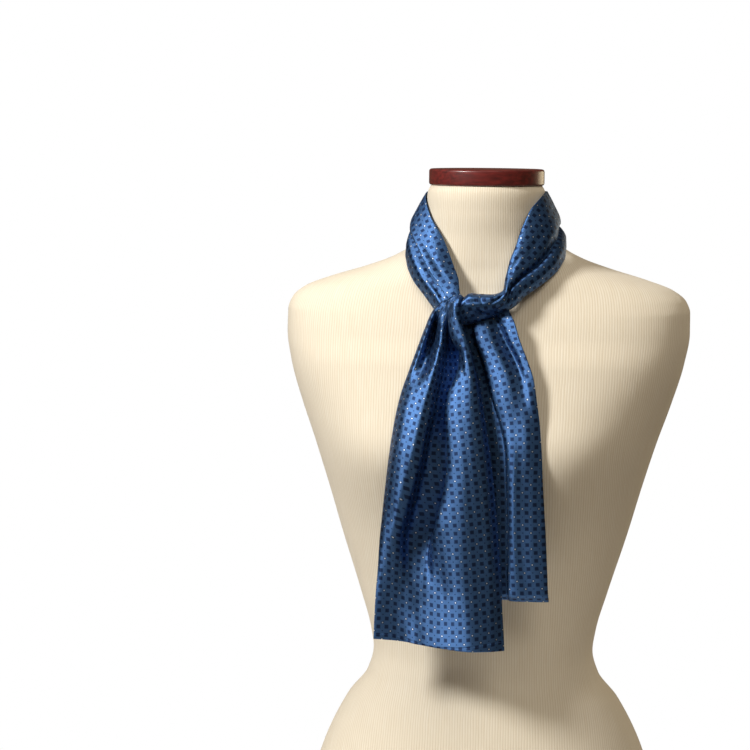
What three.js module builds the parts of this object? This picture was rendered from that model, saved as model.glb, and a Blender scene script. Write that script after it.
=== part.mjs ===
import * as THREE from 'three';

// Cravat tied in a half knot on a limbless dress form.
// Millimetres, +Z up, the front of the form faces -Y, the floor is z = 0.

const capTop = 722;            // top of the neck cap
const capHeight = 16;          // wooden disc
const capRadius = 57;
const capRound = 2.5;
const seatGap = 0.3;           // air between two pieces that touch
const neckLean = -21;          // the neck's axis stands forward of the waist's
const collarWall = 2.2;        // folded plies of the wound stretch
const tailWall = 1.3;          // single hanging ply
const seamGap = 0.36;          // left open between two stretches of the wound cloth
const bodySlices = 40;         // panels round the form
const bustHeight = 444;
const bustSide = 105;
const bustReach = 22;
const bustWidth = 66;
const bustTall = 58;
const creaseDepth = 2.2;       // lengthwise crease of the wound cloth
const creaseShare = 0.52;
const creaseWidth = 0.11;
const backFoldRadius = 2.6;    // lengthwise fold of the back tail
const backReturn = 0.5;        // how far the folded ply comes back behind the tail

// A table keeps one list for each named column.
function table(names, rows) {
  const columns = {};
  names.split(' ').forEach((name, at) => {
    columns[name] = rows.map((row) => row[at]);
  });
  return columns;
}

// Smooth curve through the points that never overshoots them.
function curve(xs, ys) {
  const last = xs.length - 1;
  const step = xs.slice(1).map((x, i) => x - xs[i]);
  const rise = step.map((h, i) => (ys[i + 1] - ys[i]) / h);
  const slope = xs.map((_, i) => {
    if (i === 0) return rise[0];
    if (i === last) return rise[last - 1];
    if (rise[i - 1] * rise[i] <= 0) return 0;
    const before = 2 * step[i] + step[i - 1];
    const after = step[i] + 2 * step[i - 1];
    return (before + after) / (before / rise[i - 1] + after / rise[i]);
  });
  return (q) => {
    const x = Math.min(Math.max(q, xs[0]), xs[last]);
    let i = 0;
    while (i < last - 1 && x > xs[i + 1]) i += 1;
    const h = step[i];
    const t = (x - xs[i]) / h;
    const s = 1 - t;
    return (1 + 2 * t) * s * s * ys[i] + t * s * s * h * slope[i]
      + t * t * (3 - 2 * t) * ys[i + 1] - t * t * s * h * slope[i + 1];
  };
}

function curvesOf(columns, along) {
  const out = {};
  for (const name of Object.keys(columns)) {
    if (name !== along) out[name] = curve(columns[along], columns[name]);
  }
  return out;
}

const degrees = (angle) => (angle * Math.PI) / 180;
const mix = (a, b, t) => a + (b - a) * t;
const bell = (x, centre, width) => Math.exp(-(((x - centre) / width) ** 2));

// The form's level sections: half width, reach to the front and the back,
// how far the middle stands back, and how square the corners are.
const formRings = curvesOf(table('z halfWidth front back lean square', [
  [0, 170, 114, 120, 2, 2.5],
  [8, 174, 118, 124, 2, 2.5],
  [45, 178, 120, 126, 2, 2.5],
  [90, 175, 117, 121, 2, 2.45],
  [140, 161, 110, 108, 1, 2.4],
  [192, 136, 101, 89, -1, 2.3],
  [218, 116, 94, 78, -2, 2.25],
  [241, 110, 90, 74, -3, 2.2],
  [262, 113, 91, 76, -3, 2.2],
  [300, 124, 94.5, 85, -2, 2.2],
  [360, 143, 105, 95, 0, 2.25],
  [405, 156, 115, 100, 2, 2.3],
  [450, 170, 121, 102, 3, 2.4],
  [490, 184, 116, 102, 4, 2.6],
  [530, 196, 113, 93, 9, 2.8],
  [560, 201, 103, 86, 11, 2.8],
  [580, 201, 96, 80, 11, 2.7],
  [592, 197, 91, 77, 10, 2.5],
  [603, 184, 86, 74, 8, 2.3],
  [613, 158, 80, 72, 5, 2.15],
  [624, 122, 74, 70, 1, 2.05],
  [634, 95, 69, 65, -5, 2],
  [645, 76, 64, 62, -10, 2],
  [660, 64.5, 61, 60, -15, 2],
  [680, 60, 59, 58, -19, 2],
  [700, 57.8, 57, 57, neckLean, 2],
  [capTop - capHeight - seatGap, 55, 55, 55, neckLean, 2],
]), 'z');

// Point of the form's skin at an angle from straight ahead, lifted off it by some millimetres.
function onForm(turn, z, lift) {
  const sine = Math.sin(turn);
  const cosine = Math.cos(turn);
  const depth = cosine > 0 ? formRings.front(z) : formRings.back(z);
  const power = formRings.square(z);
  const radius = (Math.abs(sine / formRings.halfWidth(z)) ** power
    + Math.abs(cosine / depth) ** power) ** (-1 / power) + lift;
  const x = radius * sine;
  const bust = bustReach * (bell(x, bustSide, bustWidth) + bell(x, -bustSide, bustWidth))
    * bell(z, bustHeight, bustTall) * Math.sqrt(Math.max(cosine, 0));
  return new THREE.Vector3(x, formRings.lean(z) - radius * cosine - bust, z);
}

// Closed mesh from a list of points and a list of triangles, turned faces out.
function solid(points, faces) {
  let volume = 0;
  for (const [a, b, c] of faces) {
    volume += points[a].dot(new THREE.Vector3().crossVectors(points[b], points[c]));
  }
  const index = faces.flatMap(([a, b, c]) => (volume > 0 ? [a, b, c] : [a, c, b]));
  const geometry = new THREE.BufferGeometry();
  geometry.setAttribute('position',
    new THREE.Float32BufferAttribute(points.flatMap((p) => [p.x, p.y, p.z]), 3));
  geometry.setIndex(index);
  geometry.computeVertexNormals();
  return geometry;
}

// Level rings joined into a closed body with a flat end at each side.
function ringBody(heights, slices, pointAt) {
  const points = [];
  const faces = [];
  heights.forEach((z) => {
    for (let k = 0; k < slices; k += 1) points.push(pointAt((2 * Math.PI * k) / slices, z));
  });
  for (let r = 0; r < heights.length - 1; r += 1) {
    for (let k = 0; k < slices; k += 1) {
      const a = r * slices + k;
      const b = r * slices + ((k + 1) % slices);
      faces.push([a, b, b + slices], [a, b + slices, a + slices]);
    }
  }
  for (const end of [0, heights.length - 1]) {
    const middle = new THREE.Vector3();
    for (let k = 0; k < slices; k += 1) middle.add(points[end * slices + k]);
    const hub = points.push(middle.divideScalar(slices)) - 1;
    for (let k = 0; k < slices; k += 1) {
      const a = end * slices + k;
      const b = end * slices + ((k + 1) % slices);
      faces.push(end === 0 ? [hub, b, a] : [hub, a, b]);
    }
  }
  return solid(points, faces);
}

// Cloth wall: a middle surface of two parameters, thickened half to each side.
function clothWall(middle, wall, across, along) {
  const grid = [];
  for (let j = 0; j <= along; j += 1) {
    for (let i = 0; i <= across; i += 1) grid.push(middle(i / across, j / along));
  }
  const width = across + 1;
  const at = (i, j) => grid[Math.min(Math.max(j, 0), along) * width + Math.min(Math.max(i, 0), across)];
  const sides = [[], []];
  for (let j = 0; j <= along; j += 1) {
    for (let i = 0; i <= across; i += 1) {
      const du = at(i + 1, j).clone().sub(at(i - 1, j));
      const dv = at(i, j + 1).clone().sub(at(i, j - 1));
      const normal = du.cross(dv).normalize().multiplyScalar(wall / 2);
      sides[0].push(at(i, j).clone().add(normal));
      sides[1].push(at(i, j).clone().sub(normal));
    }
  }
  const count = grid.length;
  const faces = [];
  for (let j = 0; j < along; j += 1) {
    for (let i = 0; i < across; i += 1) {
      const a = j * width + i;
      const b = a + 1;
      const c = a + width;
      const d = c + 1;
      faces.push([a, b, d], [a, d, c]);
      faces.push([count + a, count + d, count + b], [count + a, count + c, count + d]);
    }
  }
  const rim = [];
  for (let i = 0; i < across; i += 1) rim.push(i);
  for (let j = 0; j < along; j += 1) rim.push(j * width + across);
  for (let i = across; i > 0; i -= 1) rim.push(along * width + i);
  for (let j = along; j > 0; j -= 1) rim.push(j * width);
  rim.forEach((a, k) => {
    const b = rim[(k + 1) % rim.length];
    faces.push([a, count + a, count + b], [a, count + b, b]);
  });
  return solid([...sides[0], ...sides[1]], faces);
}

// The wound stretch, followed from under the knot up the left side, round the back of the neck,
// down the right side and back across the front as the band of the knot.
// Angle, height and lift off the form are given for its upper and its lower edge.
const loopRows = table('at upperTurn upperZ upperLift lowerTurn lowerZ lowerLift bulge', [
  [0, -4, 595, 15, -15, 570, 7, 2],
  [1, -8.4, 603, 24, -21, 583, 11, 3],
  [2, -11, 617, 19, -27, 594, 10, 4],
  [3, -18, 633, 12, -36, 609, 9, 5],
  [4, -30, 653, 7, -48, 625, 7, 5],
  [5, -49, 672, 4, -63, 637, 6, 5],
  [6, -83, 696, 2, -84, 645, 5, 4],
  [7, -115, 700, 2, -115, 650, 4, 3],
  [8, -180, 702, 2, -180, 653, 3, 3],
  [9, -245, 700, 2, -245, 650, 4, 3],
  [10, -277, 700, 2, -277, 646, 6, 4],
  [11, -305, 688, 3, -300, 635, 8, 5],
  [12, -322, 668, 6, -316, 622, 9, 6],
  [13, -332, 650, 11, -327, 611, 12, 6],
  [14, -340, 634, 16, -336, 601, 15, 6],
  [15, -345, 618, 24, -341, 593, 19, 6],
  [16, -347, 607, 29, -345, 588, 21, 6],
  [17, -353, 603, 31, -354, 581, 24, 8],
  [18, -362, 604, 32, -362, 576, 24, 9],
  [19, -367, 596, 31, -367, 574, 23, 8],
  [20, -371, 590, 26, -371, 574, 19, 5],
]);
const loopEdges = curvesOf(loopRows, 'at');
const loopEnd = loopRows.at.length - 1;

// Middle surface of the loop: from the upper edge to the lower one, swelling outwards between.
function loopSurface(share, at) {
  const upper = onForm(degrees(loopEdges.upperTurn(at)), loopEdges.upperZ(at), loopEdges.upperLift(at));
  const lower = onForm(degrees(loopEdges.lowerTurn(at)), loopEdges.lowerZ(at), loopEdges.lowerLift(at));
  const turn = degrees(mix(loopEdges.upperTurn(at), loopEdges.lowerTurn(at), share));
  const outward = new THREE.Vector3(Math.sin(turn), -Math.cos(turn), 0.25).normalize();
  const arch = (1 - Math.abs(2 * share - 1) ** 2.4) * loopEdges.bulge(at);
  const crease = creaseDepth * bell(share, creaseShare, creaseWidth)
    * Math.min(1, loopEdges.bulge(at) / 5);
  return upper.lerp(lower, share).addScaledVector(outward, arch - crease);
}

// Half of a seam's opening, as a step along the loop's rows.
function seamStep(at) {
  const probe = 0.02;
  const reach = loopSurface(0.5, at + probe).distanceTo(loopSurface(0.5, at - probe));
  return (probe * seamGap) / reach;
}

function loopStretch(from, to, across, along) {
  const start = from > 0 ? from + seamStep(from) : from;
  const stop = to < loopEnd ? to - seamStep(to) : to;
  return clothWall((u, v) => loopSurface(u, mix(start, stop, v)), collarWall, across, along);
}

// The front tail from the curl over the knot to its hem. Each row gives the height, the two
// edges, and how far forward the cloth stands at the left edge, the hollow, the panel's crest,
// the deep valley, the ridge and the right edge, with the places of the folds across the width.
const frontRows = curvesOf(table(
  'at z left right hollowAt crestAt valleyAt ridgeAt edge hollow crest valley ridge side', [
    [0, 601, -19, -13, 0.2, 0.4, 0.6, 0.8, 108, 108, 108, 108, 109, 109],
    [1, 602, -21, -12, 0.2, 0.4, 0.6, 0.8, 112, 112, 113, 113, 114, 114],
    [2, 600, -25, -12, 0.15, 0.35, 0.55, 0.75, 111, 113, 116, 117, 121, 121],
    [3, 593, -33, -13, 0.12, 0.3, 0.48, 0.72, 104, 106, 112, 114, 123, 123],
    [4, 585, -40, -14, 0.12, 0.3, 0.47, 0.72, 100, 102, 112, 113, 125, 123],
    [5, 574, -47, -11, 0.14, 0.42, 0.56, 0.8, 101, 100, 113, 110, 126, 123],
    [6, 554, -56, -4, 0.2, 0.43, 0.63, 0.82, 107, 104, 115, 109, 128, 123],
    [7, 537, -61.5, 0, 0.2, 0.42, 0.63, 0.84, 110, 110, 120, 111, 130, 122],
    [8, 520, -67, 5, 0.15, 0.36, 0.62, 0.84, 114, 120, 128, 112, 132, 121],
    [9, 501, -71, 10, 0.12, 0.33, 0.55, 0.79, 120, 129, 135, 118, 138, 125],
    [10, 473, -75, 15, 0.1, 0.26, 0.55, 0.75, 127, 136, 141, 123.5, 143.5, 130],
    [11, 444, -78, 20, 0.08, 0.22, 0.53, 0.71, 130, 139, 144, 126.5, 146.5, 133],
    [12, 415, -81, 23, 0.06, 0.16, 0.46, 0.67, 131, 139, 143, 124, 146.5, 133],
    [13, 386, -83.5, 25.5, 0.05, 0.12, 0.4, 0.63, 132, 138, 141, 121, 146, 133],
    [14, 361, -85.5, 27.5, 0.05, 0.11, 0.34, 0.6, 133, 137, 139, 127, 144.5, 131],
    [15, 330, -87.5, 29.5, 0.06, 0.13, 0.28, 0.6, 135, 137, 136.5, 135, 144, 130],
    [16, 300, -88.5, 31.5, 0.07, 0.16, 0.28, 0.65, 138, 136.5, 135.5, 137, 148.5, 133],
    [17, 262, -91, 34, 0.07, 0.18, 0.32, 0.69, 142.5, 141.5, 140, 142, 158.5, 144],
  ]), 'at');
const frontEnd = 17;
const hemLift = 12;            // the left corner of the front hem hangs higher

function frontSurface(u, v) {
  const at = v * frontEnd;
  const r = frontRows;
  const profile = curve(
    [0, r.hollowAt(at), r.crestAt(at), r.valleyAt(at), r.ridgeAt(at), 1],
    [r.edge(at), r.hollow(at), r.crest(at), r.valley(at), r.ridge(at), r.side(at)]);
  const lift = hemLift * (1 - u) ** 2.5 * v ** 3;
  return new THREE.Vector3(mix(r.left(at), r.right(at), u), -profile(u), r.z(at) + lift);
}

// The back tail hangs from behind the band, folded lengthwise with the fold at its right.
const backRows = curvesOf(table(
  'at z left right hollowAt crestAt dipAt edge hollow crest dip side', [
    [0, 597, -6, 28, 0.2, 0.45, 0.7, 97, 97, 98, 98, 98],
    [1, 588, -7, 31, 0.2, 0.45, 0.7, 99, 99, 101, 100, 99],
    [2, 577, -8, 37.5, 0.15, 0.42, 0.68, 102, 102, 106, 104, 105],
    [3, 555, -9, 43.5, 0.12, 0.42, 0.7, 105, 105, 112, 109, 112],
    [4, 538, -4, 50, 0.13, 0.42, 0.72, 107, 107, 116, 112, 115],
    [5, 520, 0, 57, 0.17, 0.46, 0.8, 111, 111, 121, 118, 120],
    [6, 502, 4, 60.5, 0.16, 0.48, 0.8, 117, 117, 126, 124, 125],
    [7, 473, 10, 64.5, 0.18, 0.55, 0.8, 123, 123, 132, 132, 132],
    [8, 444, 15, 67, 0.22, 0.5, 0.8, 127, 127, 136, 135, 135],
    [9, 415, 18, 69, 0.2, 0.46, 0.8, 127, 127, 136, 135, 135],
    [10, 370, 21, 72, 0.2, 0.44, 0.78, 127, 127, 135, 134, 134],
    [11, 330, 24, 74.5, 0.2, 0.42, 0.76, 126, 126, 133, 132, 132],
    [12, 313, 25, 75, 0.2, 0.42, 0.76, 125, 125, 131, 130, 130],
  ]), 'at');
const backEnd = 12;
const frontShare = 0.58;       // share of the grid on the ply that shows
const foldShare = 0.14;        // share of the grid on the turn

function backSurface(u, v) {
  const at = v * backEnd;
  const r = backRows;
  const reachAt = curve(
    [0, r.hollowAt(at), r.crestAt(at), r.dipAt(at), 1],
    [r.edge(at), r.hollow(at), r.crest(at), r.dip(at), r.side(at)]);
  const left = r.left(at);
  const right = r.right(at) - backFoldRadius;
  const z = r.z(at);
  if (u <= frontShare) {
    const share = u / frontShare;
    return new THREE.Vector3(mix(left, right, share), -reachAt(share), z);
  }
  const turn = Math.min((u - frontShare) / foldShare, 1) * Math.PI;
  const back = Math.max(u - frontShare - foldShare, 0) / (1 - frontShare - foldShare);
  const share = 1 - backReturn * back;
  const x = mix(left, right, share) + backFoldRadius * Math.sin(turn);
  return new THREE.Vector3(x, -reachAt(share) + backFoldRadius * (1 - Math.cos(turn)), z);
}

// The cap is a flat disc with rounded rims.
function capGeometry() {
  const low = capTop - capHeight;
  const heights = [0, 0.3, 1].map((t) => low + capRound * t)
    .concat([1, 0.3, 0].map((t) => capTop - capRound * t));
  return ringBody(heights, 48, (turn, z) => {
    const edge = Math.min(z - low, capTop - z, capRound);
    const inset = capRound - Math.sqrt(Math.max(capRound ** 2 - (capRound - edge) ** 2, 0));
    const radius = capRadius - inset;
    return new THREE.Vector3(radius * Math.sin(turn), neckLean - radius * Math.cos(turn), z);
  });
}

const bodyHeights = [0, 3, 8, 45, 90, 140, 170, 192, 210, 225, 241, 256, 275, 300, 330, 360, 385, 405,
  425, 450, 475, 500, 530, 548, 564, 577, 587, 596, 604, 611, 618, 625, 632, 640, 650, 664, 682, 698,
  capTop - capHeight - seatGap];

const cloth = { colour: '#3d6cab', roughness: 0.42, metalness: 0 };
const pieces = [
  ['form_body', ringBody(bodyHeights, bodySlices, (turn, z) => onForm(turn, z, 0)),
    { colour: '#efe4cf', roughness: 0.92, metalness: 0 }],
  ['neck_cap', capGeometry(), { colour: '#5c1f1f', roughness: 0.25, metalness: 0 }],
  ['left_limb', loopStretch(0, 6.5, 10, 20), cloth],
  ['neck_back', loopStretch(6.5, 9.5, 10, 16), cloth],
  ['right_limb', loopStretch(9.5, 16.4, 10, 22), cloth],
  ['knot_band', loopStretch(16.4, loopEnd, 12, 12), cloth],
  ['front_tail', clothWall(frontSurface, tailWall, 20, 34), cloth],
  ['back_tail', clothWall(backSurface, tailWall, 20, 20), cloth],
];

const part = new THREE.Group();
part.name = 'cravat_on_dress_form';
for (const [name, geometry, look] of pieces) {
  const material = new THREE.MeshStandardMaterial({
    color: look.colour, roughness: look.roughness, metalness: look.metalness,
  });
  const mesh = new THREE.Mesh(geometry, material);
  mesh.name = name;
  part.add(mesh);
}

export default part;
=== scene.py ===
import math

import bpy
import numpy as np
from mathutils import Matrix, Vector


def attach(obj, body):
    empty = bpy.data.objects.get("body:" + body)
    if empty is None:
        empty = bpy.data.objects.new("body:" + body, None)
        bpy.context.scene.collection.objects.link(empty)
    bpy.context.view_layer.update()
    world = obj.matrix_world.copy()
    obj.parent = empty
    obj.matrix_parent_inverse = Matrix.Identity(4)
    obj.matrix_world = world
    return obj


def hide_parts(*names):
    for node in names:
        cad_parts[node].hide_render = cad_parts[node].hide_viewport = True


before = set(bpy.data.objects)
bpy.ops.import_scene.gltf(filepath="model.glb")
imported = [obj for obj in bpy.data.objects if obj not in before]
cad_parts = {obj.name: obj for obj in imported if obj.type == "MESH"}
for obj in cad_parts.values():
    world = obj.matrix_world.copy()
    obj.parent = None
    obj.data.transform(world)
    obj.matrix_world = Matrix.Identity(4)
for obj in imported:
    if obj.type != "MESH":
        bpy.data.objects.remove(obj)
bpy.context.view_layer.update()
print("frame loaded:", ", ".join(sorted(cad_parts)))

metre = 0.001  # one millimetre; the tables below are in millimetres, and the lights' places in metres


# A table has one list for each named column; each row gives one number for each of them.
def namedTable(words, rows):
    return dict(zip(words.split(), np.array(rows, float).T))


# Smooth curve through points that never overshoots: between two points the value is the cubic with
# the slopes at both; a slope is the weighted harmonic mean of the rises on its two sides, and 0 at
# a high or low point. With one row of points for each row of q, each row has its own curve.
def smoothCurve(xs, ys, q):
    xs, ys = np.broadcast_arrays(np.atleast_2d(xs), np.atleast_2d(ys))
    q = np.asarray(q, float)
    at = np.clip(q.reshape(len(xs), -1), xs[:, :1], xs[:, -1:])
    step = np.diff(xs)
    rise = np.diff(ys) / step
    before, after = rise[:, :-1], rise[:, 1:]
    heavy = 2 * step[:, 1:] + step[:, :-1]
    light = step[:, 1:] + 2 * step[:, :-1]
    turns = before * after <= 0
    mean = (heavy + light) / (heavy / np.where(turns, 1, before) + light / np.where(turns, 1, after))
    slope = np.concatenate([rise[:, :1], np.where(turns, 0, mean), rise[:, -1:]], 1)
    left = np.clip((at[:, :, None] >= xs[:, None, :]).sum(2) - 1, 0, xs.shape[1] - 2)
    h = np.take_along_axis(step, left, 1)
    t = (at - np.take_along_axis(xs, left, 1)) / h
    s = 1 - t
    value = (1 + 2 * t) * s * s * np.take_along_axis(ys, left, 1)
    value += t * s * s * h * np.take_along_axis(slope, left, 1)
    value += t * t * (3 - 2 * t) * np.take_along_axis(ys, left + 1, 1)
    value -= t * t * s * h * np.take_along_axis(slope, left + 1, 1)
    return value.reshape(q.shape)


# Bell: 1 at the centre, falling off as e to the minus square of the distance over the width.
def bell(x, centre, width):
    return np.exp(-(((x - centre) / width) ** 2))


# Smooth step: 0 before the start, 1 after the end, 3t^2 - 2t^3 between.
def ease(x, start, end):
    t = np.clip((x - start) / (end - start), 0, 1)
    return t * t * (3 - 2 * t)


# Running length along one axis of a grid of points: the sum of the steps, from 0.
def runningLength(points, axis):
    step = np.linalg.norm(np.diff(points, axis=axis), axis=-1)
    first = np.zeros_like(np.take(step, [0], axis=axis))
    return np.concatenate([first, np.cumsum(step, axis=axis)], axis=axis)


# Unit normals of a grid: the differences along times those across, made one long.
def gridNormals(points):
    normal = np.cross(np.gradient(points, axis=0), np.gradient(points, axis=1))
    return normal / np.linalg.norm(normal, axis=-1, keepdims=True)


# Corners of a grid's quads, as row and column; on a closed grid the last column meets the first.
def gridCorners(rows, cols):
    j, i = np.meshgrid(np.arange(rows - 1), np.arange(cols - 1), indexing="ij")
    row = np.stack([j, j, j + 1, j + 1], -1).reshape(-1, 4)
    col = np.stack([i, i + 1, i + 1, i], -1).reshape(-1, 4)
    return row, col


# Mesh object from points in millimetres, groups of faces and the flat place of each face's corners.
# The signed volume is the sum of a . (b x c) / 6 over the triangles; where it is negative, every
# face is turned round.
def meshPiece(name, points, groups, flats, material):
    volume = 0.0
    for faces in groups:
        for k in range(1, faces.shape[1] - 1):
            a, b, c = points[faces[:, 0]], points[faces[:, k]], points[faces[:, k + 1]]
            volume += np.einsum("ij,ij->", a, np.cross(b, c))
    if volume < 0:
        groups = [faces[:, ::-1] for faces in groups]
        flats = [flat[:, ::-1] for flat in flats]
    corners = np.concatenate([faces.ravel() for faces in groups]).astype(np.int32)
    sizes = np.concatenate([np.full(len(faces), faces.shape[1]) for faces in groups])
    starts = np.concatenate([[0], np.cumsum(sizes)[:-1]]).astype(np.int32)
    mesh = bpy.data.meshes.new(name)
    mesh.vertices.add(len(points))
    mesh.vertices.foreach_set("co", (points * metre).astype(np.float32).ravel())
    mesh.loops.add(len(corners))
    mesh.loops.foreach_set("vertex_index", corners)
    mesh.polygons.add(len(sizes))
    mesh.polygons.foreach_set("loop_start", starts)
    mesh.polygons.foreach_set("use_smooth", np.ones(len(sizes), bool))
    layer = mesh.uv_layers.new(name="surface")
    flat = np.concatenate([flat.reshape(-1, 2) for flat in flats]) * metre
    layer.data.foreach_set("uv", flat.astype(np.float32).ravel())
    mesh.update(calc_edges=True)
    mesh.materials.append(material)
    piece = bpy.data.objects.new(name, mesh)
    bpy.context.scene.collection.objects.link(piece)
    return piece


# Closed thin cloth: each middle point goes half the thickness out and half in along the normal, and
# a row of points half the thickness past the edge rounds it.
def clothPiece(name, middle, flat, thickness, material):
    rows, cols = middle.shape[:2]
    lift = gridNormals(middle) * thickness / 2
    top, right = np.arange(cols - 1), np.arange(rows - 1)
    j = np.concatenate([0 * top, right, 0 * top + rows - 1, rows - 1 - right])
    i = np.concatenate([top, 0 * right + cols - 1, cols - 1 - top, 0 * right])
    away = middle[j, i] - middle[np.clip(j, 1, rows - 2), np.clip(i, 1, cols - 2)]
    away /= np.linalg.norm(away, axis=-1, keepdims=True)
    edge = middle[j, i] + away * thickness / 2
    points = np.concatenate([(middle + lift).reshape(-1, 3), (middle - lift).reshape(-1, 3), edge])
    row, col = gridCorners(rows, cols)
    face = row * cols + col
    count = rows * cols
    rim = j * cols + i
    ring = 2 * count + np.arange(len(rim))
    nextRim, nextRing = np.roll(rim, -1), np.roll(ring, -1)
    outerRim = np.stack([nextRim, rim, ring, nextRing], -1)
    innerRim = np.stack([nextRing, ring, rim + count, nextRim + count], -1)
    flat = flat.reshape(-1, 2)
    rimFlat = np.stack([flat[nextRim], flat[rim], flat[rim], flat[nextRim]], 1)
    groups = [face, face[:, ::-1] + count, outerRim, innerRim]
    flats = [flat[face], flat[face[:, ::-1]], rimFlat, rimFlat]
    return meshPiece(name, points, groups, flats, material)


# Closed body of rings: the rings' points go round without a gap, and a hub point closes each end.
def ringPiece(name, rings, flat, material):
    rows, cols = rings.shape[0], rings.shape[1] - 1
    hubs = rings[[0, -1], :-1].mean(1)
    points = np.concatenate([rings[:, :-1].reshape(-1, 3), hubs])
    row, col = gridCorners(rows, cols + 1)
    sides = row * cols + col % cols
    around = np.arange(cols)
    low = np.stack([0 * around + rows * cols, (around + 1) % cols, around], -1)
    high = np.stack([0 * around + rows * cols + 1, around, (around + 1) % cols], -1)
    high[:, 1:] += (rows - 1) * cols
    lowFlat = np.stack([flat[0, 1:], flat[0, 1:], flat[0, :-1]], 1)
    highFlat = np.stack([flat[-1, :-1], flat[-1, :-1], flat[-1, 1:]], 1)
    return meshPiece(name, points, [sides, low, high], [flat[row, col], lowFlat, highFlat], material)


# Shader node with its settings and inputs; an input given as a socket is linked.
def addNode(tree, kind, inputs=None, **settings):
    node = tree.nodes.new(kind)
    for key, value in settings.items():
        setattr(node, key, value)
    for key, value in (inputs or {}).items():
        if isinstance(value, bpy.types.NodeSocket):
            tree.links.new(value, node.inputs[key])
        else:
            node.inputs[key].default_value = value
    return node


def maths(tree, operation, a, b=0.0, c=0.0):
    return addNode(tree, "ShaderNodeMath", {0: a, 1: b, 2: c}, operation=operation).outputs[0]


def vectorMaths(tree, operation, first, second=(0, 0, 0)):
    node = addNode(tree, "ShaderNodeVectorMath", {0: first, 1: second}, operation=operation)
    return node.outputs["Vector"]


def axesOf(tree, vector):
    return addNode(tree, "ShaderNodeSeparateXYZ", {0: vector}).outputs


# Value carried from one range to another and kept inside it.
def ranged(tree, value, fromLow, fromHigh, toLow=0.0, toHigh=1.0, kind="LINEAR"):
    inputs = {"Value": value, "From Min": fromLow, "From Max": fromHigh, "To Min": toLow, "To Max": toHigh}
    return addNode(tree, "ShaderNodeMapRange", inputs, interpolation_type=kind).outputs["Result"]


# Colour between two by an amount; on the Mix node the colours are inputs 6 and 7 and output 2.
def mixed(tree, amount, first, second):
    node = addNode(tree, "ShaderNodeMix", {0: amount}, data_type="RGBA")
    for place, value in ((6, first), (7, second)):
        if isinstance(value, bpy.types.NodeSocket):
            tree.links.new(value, node.inputs[place])
        else:
            node.inputs[place].default_value = value
    return node.outputs[2]


noiseSpan = (0.3, 0.7)         # where most values of a noise lie
noiseMiddle = (0.35, 0.65)     # a narrower span, for more contrast


def noise(tree, vector, scale=1.0, detail=2.0, rough=0.5, output="Fac"):
    inputs = {"Vector": vector, "Scale": scale, "Detail": detail, "Roughness": rough}
    return addNode(tree, "ShaderNodeTexNoise", inputs).outputs[output]


# Linear colour from an ordinary screen colour: under 0.04045 it is divided by 12.92, and above that
# it is the 2.4th power of (value + 0.055) / 1.055.
def screenColour(red, green, blue):
    value = np.array([red, green, blue]) / 255
    linear = np.where(value <= 0.04045, value / 12.92, ((value + 0.055) / 1.055) ** 2.4)
    return (*linear.tolist(), 1.0)


def newMaterial(name):
    material = bpy.data.materials.new(name)
    material.use_nodes = True
    material.node_tree.nodes.clear()
    return material, material.node_tree


# Shader from its inputs, with the bumps one on another: height, depth in millimetres and strength.
def finishMaterial(tree, inputs, bumps=()):
    inputs = dict(inputs)
    for height, depth, strength in bumps:
        bump = {"Height": height, "Distance": depth * metre, "Strength": strength}
        if "Normal" in inputs:
            bump["Normal"] = inputs["Normal"]
        inputs["Normal"] = addNode(tree, "ShaderNodeBump", bump).outputs[0]
    shader = addNode(tree, "ShaderNodeBsdfPrincipled", inputs)
    addNode(tree, "ShaderNodeOutputMaterial", {"Surface": shader.outputs[0]})


# Place on the piece's own flat map, in millimetres.
def flatPlace(tree):
    place = addNode(tree, "ShaderNodeUVMap", uv_map="surface").outputs["UV"]
    return vectorMaths(tree, "MULTIPLY", place, (1 / metre,) * 3)


# Dress form

form = dict(
    rows=320, turns=300,
    rowsBelow=30 / 59, closeFrom=470,      # this share of the rows is below this height
    neckGirth=372,                         # where the ribs have their own pitch
    ribSpread=0.15,                        # how far they open with the girth
    bustHeight=444, bustSide=105, bustReach=22, bustWidth=66, bustTall=58,
    words="z halfWidth front back lean square",
    rings=[
        [0, 170, 114, 120, 2, 2.5],
        [8, 174, 118, 124, 2, 2.5],
        [45, 178, 120, 126, 2, 2.5],
        [90, 175, 117, 121, 2, 2.45],
        [140, 161, 110, 108, 1, 2.4],
        [192, 136, 101, 89, -1, 2.3],
        [218, 116, 94, 78, -2, 2.25],
        [241, 110, 90, 74, -3, 2.2],
        [262, 113, 91, 76, -3, 2.2],
        [300, 124, 94.5, 85, -2, 2.2],
        [360, 143, 105, 95, 0, 2.25],
        [405, 156, 115, 100, 2, 2.3],
        [450, 170, 121, 102, 3, 2.4],
        [490, 184, 116, 102, 4, 2.6],
        [530, 196, 113, 93, 9, 2.8],
        [560, 201, 103, 86, 11, 2.8],
        [580, 201, 96, 80, 11, 2.7],
        [592, 197, 91, 77, 10, 2.5],
        [603, 184, 86, 74, 8, 2.3],
        [613, 158, 82, 72, 5, 2.15],
        [624, 122, 77, 70, 1, 2.05],
        [634, 95, 71, 65, -5, 2],
        [645, 76, 66, 62, -10, 2],
        [660, 64.5, 61.5, 60, -15, 2],
        [680, 60, 59, 58, -19, 2],
        [700, 57.8, 57, 57, -21, 2],
        [705.7, 55, 55, 55, -21, 2],
    ],
)
formRings = namedTable(form["words"], form["rings"])


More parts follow.
